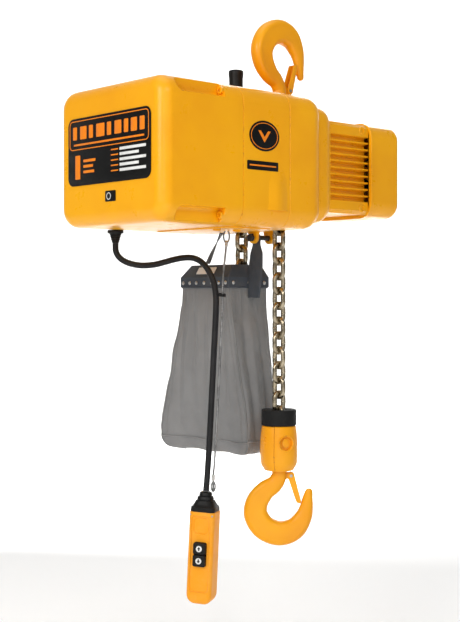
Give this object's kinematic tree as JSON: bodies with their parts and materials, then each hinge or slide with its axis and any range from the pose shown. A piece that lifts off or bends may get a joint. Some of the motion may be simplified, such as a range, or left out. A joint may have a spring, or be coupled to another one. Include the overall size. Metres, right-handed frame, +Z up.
{
  "type": "chain hoist",
  "caption": "Electric chain hoist with a swivel top hook, geared motor, load chain with hook block, chain bag and a wired push-button pendant.",
  "frame": {"origin": "the saddle of the top hook, where the hoist hangs", "axes": "+X along the motor towards the fan, -Y towards the long side with the oval mark, +Z up"},
  "size_m": [0.5501, 0.3079, 0.8984],
  "materials": {
    "yellow_enamel": "gloss enamel over cast and forged metal",
    "black_plastic": "satin moulded",
    "cable_jacket": "smooth jacket",
    "black_steel": "black finish",
    "slate_sheet": "powder coat",
    "rubber": "moulded",
    "steel": "machined",
    "plated_chain": "bright plated, brassy",
    "winding": "varnished",
    "grey_cloth": "coated cloth",
    "label": "printed film"
  },
  "bodies": {
    "hoist": {"control_cover": "yellow_enamel", "mid_case": "yellow_enamel", "right_case": "yellow_enamel", "flange_housing": "yellow_enamel", "motor_frame": "yellow_enamel", "fan_cover": "yellow_enamel", "cover_screw_1": "steel", "cover_screw_2": "steel", "cover_screw_3": "steel", "cover_screw_4": "steel", "nameplate": "label", "top_cap": "black_plastic", "gear_plate": "slate_sheet", "contactor": "black_plastic", "transformer": "steel", "chain_guide": "steel", "sheave_bearing_left": "steel", "sheave_bearing_right": "steel", "rotor_bearing": "steel", "stator": "winding", "brake_coil": "winding", "sheave_chain": "plated_chain", "bag_frame": "slate_sheet", "chain_bag": "grey_cloth", "bag_arm": "slate_sheet", "bag_strap": "black_steel", "lug_pin": "black_steel", "cable_gland": "black_plastic", "pendant_cable": "cable_jacket", "strain_wire": "cable_jacket", "pendant_cap": "black_plastic", "pendant_front": "yellow_enamel", "pendant_back": "yellow_enamel"},
    "sheave": {"load_sheave": "steel", "sheave_shaft": "steel", "load_gear": "steel"},
    "intermediate": {"intermediate_shaft": "steel", "intermediate_wheel": "steel", "slow_pinion": "steel"},
    "rotor": {"rotor_shaft": "steel", "motor_pinion": "steel", "rotor_core": "steel", "brake_disc": "black_steel", "fan": "black_plastic"},
    "top_hook": {"top_hook": "yellow_enamel", "top_hook_nut": "steel"},
    "top_latch": {"top_latch": "yellow_enamel", "top_latch_pin": "steel"},
    "load_block": {"load_chain": "plated_chain", "bumper": "rubber", "block_left": "yellow_enamel", "block_right": "yellow_enamel", "chain_pin": "steel"},
    "slack_chain": {"slack_chain": "plated_chain"},
    "bottom_hook": {"bottom_hook": "yellow_enamel", "bottom_hook_nut": "steel"},
    "bottom_latch": {"bottom_latch": "yellow_enamel", "bottom_latch_pin": "steel"},
    "up_button": {"up_button": "black_plastic"},
    "down_button": {"down_button": "black_plastic"}
  },
  "joints": [
    {"name": "motor_spin", "type": "hinge", "parent": "hoist", "child": "rotor", "pos_m": [0, 0.043, -0.186], "axis": [-1, 0, 0], "range_deg": [-2520, 2520]},
    {"name": "intermediate_spin", "type": "hinge", "parent": "hoist", "child": "intermediate", "pos_m": [0, 0.097, -0.186], "axis": [-1, 0, 0], "range_deg": [-505, 505]},
    {"name": "sheave_spin", "type": "hinge", "parent": "hoist", "child": "sheave", "pos_m": [0, 0.043, -0.186], "axis": [-1, 0, 0], "range_deg": [-110.75, 110.75]},
    {"name": "load_lift", "type": "slide", "parent": "hoist", "child": "load_block", "axis": [0, 0, 1], "range_m": [-0.083, 0.083], "deforming": ["load_chain"]},
    {"name": "slack_run", "type": "slide", "parent": "hoist", "child": "slack_chain", "axis": [0, 0, 1], "range_m": [-0.083, 0.083], "deforming": ["slack_chain"]},
    {"name": "top_hook_swivel", "type": "hinge", "parent": "hoist", "child": "top_hook", "pos_m": [0, 0, -0.09], "axis": [0, 0, 1], "continuous": true},
    {"name": "top_latch_hinge", "type": "hinge", "parent": "top_hook", "child": "top_latch", "pos_m": [0.019, 0, -0.0715], "axis": [0, -1, 0], "range_deg": [0, 32], "stiffness_Nm_per_rad": 0.05, "springref_deg": -28.65},
    {"name": "bottom_hook_swivel", "type": "hinge", "parent": "load_block", "child": "bottom_hook", "pos_m": [0, 0, -0.65], "axis": [0, 0, 1], "continuous": true},
    {"name": "bottom_latch_hinge", "type": "hinge", "parent": "bottom_hook", "child": "bottom_latch", "pos_m": [0.01412, -0.01271, -0.6725], "axis": [0.6691, 0.7431, 0], "range_deg": [0, 32], "stiffness_Nm_per_rad": 0.05, "springref_deg": -28.65},
    {"name": "up_button_press", "type": "slide", "parent": "hoist", "child": "up_button", "axis": [0.8572, 0.515, 0], "range_m": [0, 0.003], "stiffness_N_per_m": 300, "springref_m": -0.001},
    {"name": "down_button_press", "type": "slide", "parent": "hoist", "child": "down_button", "axis": [0.8572, 0.515, 0], "range_m": [0, 0.003], "stiffness_N_per_m": 300, "springref_m": -0.001}
  ],
  "couplings": [
    {"joint": "intermediate_spin", "follows": "motor_spin", "ratio": -0.2},
    {"joint": "sheave_spin", "follows": "motor_spin", "ratio": 0.04375},
    {"joint": "load_lift", "follows": "motor_spin", "m_per_rad": 0.0018812},
    {"joint": "slack_run", "follows": "motor_spin", "m_per_rad": -0.0018812}
  ]
}
